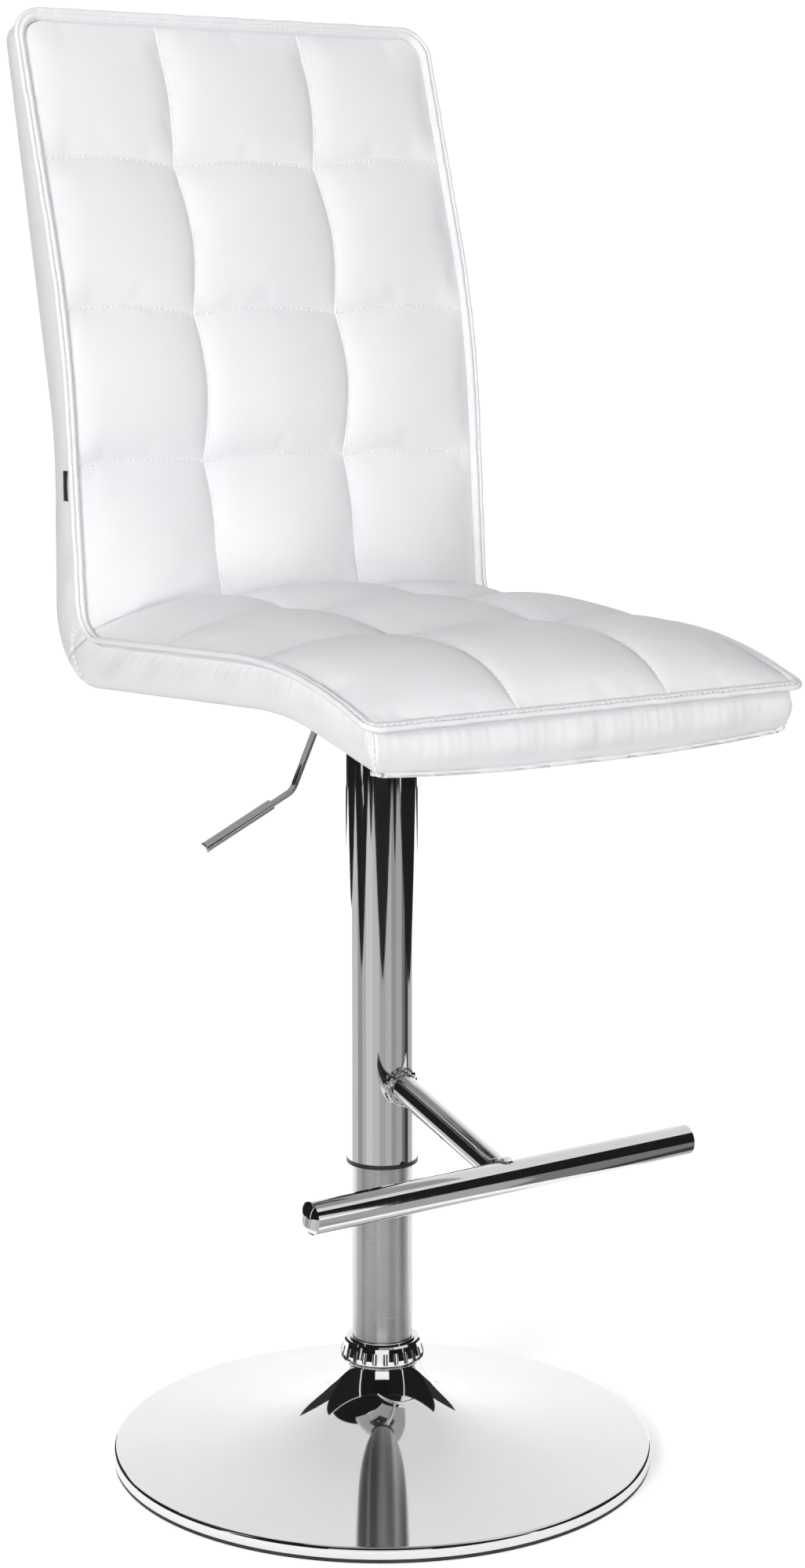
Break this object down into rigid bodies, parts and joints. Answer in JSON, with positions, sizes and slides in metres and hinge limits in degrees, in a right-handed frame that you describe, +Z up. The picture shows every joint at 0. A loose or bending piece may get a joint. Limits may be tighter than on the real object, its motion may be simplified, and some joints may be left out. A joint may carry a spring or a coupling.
{
  "type": "adjustable swivel stool",
  "caption": "High-backed swivel bar stool with a quilted one-piece seat, gas-lift column, T footrest, height lever and flared round base.",
  "frame": {"origin": "on the floor, on the column's axis, at the middle of the base's rubber ring", "axes": "+Z up along the column, the sitter faces -Y, +X is on the sitter's left and the height lever is at -X"},
  "size_m": [0.4496, 0.5515, 1.187],
  "materials": {
    "polished_chrome": "polished",
    "brushed_steel": "satin",
    "black_rubber": "matte",
    "black_plastic": "satin",
    "natural_nylon": "satin",
    "raw_steel": "satin",
    "ground_steel": "polished",
    "zinc_plate": "satin",
    "seal_rubber": "matte",
    "plywood": "matte",
    "foam": "matte",
    "white_leatherette": "satin",
    "tag_ribbon": "matte"
  },
  "bodies": {
    "base": {"base_shell": "polished_chrome", "base_plate": "raw_steel", "base_gasket": "black_rubber", "base_collar": "polished_chrome", "column_tube": "brushed_steel", "guide_bush": "natural_nylon", "tube_foot": "natural_nylon", "lower_race": "ground_steel", "bearing_balls": "ground_steel"},
    "spindle": {"piston_rod": "ground_steel", "rod_clip": "ground_steel", "gas_piston": "ground_steel", "piston_seal": "seal_rubber", "upper_race": "ground_steel"},
    "seat_lift": {"outer_sleeve": "polished_chrome", "footrest_arm": "polished_chrome", "footrest_bar": "polished_chrome", "bar_cap_left": "polished_chrome", "bar_cap_right": "polished_chrome", "arm_weld": "polished_chrome", "bar_weld": "polished_chrome", "sleeve_ring": "black_plastic", "seat_plate": "raw_steel", "seat_hub": "raw_steel", "lever_bracket": "raw_steel", "sleeve_cap": "raw_steel", "lever_pin": "ground_steel", "plate_bolts": "zinc_plate", "t_nuts": "zinc_plate", "gas_cylinder": "zinc_plate", "cylinder_gland": "zinc_plate", "cylinder_cap": "zinc_plate", "seat_board": "plywood", "seat_foam": "foam", "back_foam": "foam", "quilted_seat_panel": "white_leatherette", "quilted_back_panel": "white_leatherette", "seat_welt": "white_leatherette", "back_welt": "white_leatherette", "seat_cover": "white_leatherette", "back_cover": "white_leatherette", "seat_side_left": "white_leatherette", "seat_side_right": "white_leatherette", "back_side_left": "white_leatherette", "back_side_right": "white_leatherette", "top_band": "white_leatherette", "front_band": "white_leatherette", "label_tag": "tag_ribbon"},
    "lever": {"lever_rod": "polished_chrome", "lever_grip": "polished_chrome"},
    "valve": {"valve_button": "ground_steel"}
  },
  "joints": [
    {"name": "swivel", "type": "hinge", "parent": "base", "child": "spindle", "pos_m": [0, 0, 0.025], "axis": [0, 0, 1], "continuous": true},
    {"name": "height", "type": "slide", "parent": "spindle", "child": "seat_lift", "axis": [0, 0, 1], "range_m": [-0.148, 0.06]},
    {"name": "lever_lift", "type": "hinge", "parent": "seat_lift", "child": "lever", "pos_m": [-0.026, 0, 0.632], "axis": [0, 1, 0], "range_deg": [0, 5.5], "stiffness_Nm_per_rad": 1.5, "springref_deg": -2.86},
    {"name": "valve_press", "type": "slide", "parent": "seat_lift", "child": "valve", "axis": [0, 0, -1], "range_m": [0, 0.0025], "stiffness_N_per_m": 400}
  ],
  "couplings": [
    {"joint": "valve_press", "follows": "lever_lift", "m_per_rad": 0.026}
  ]
}
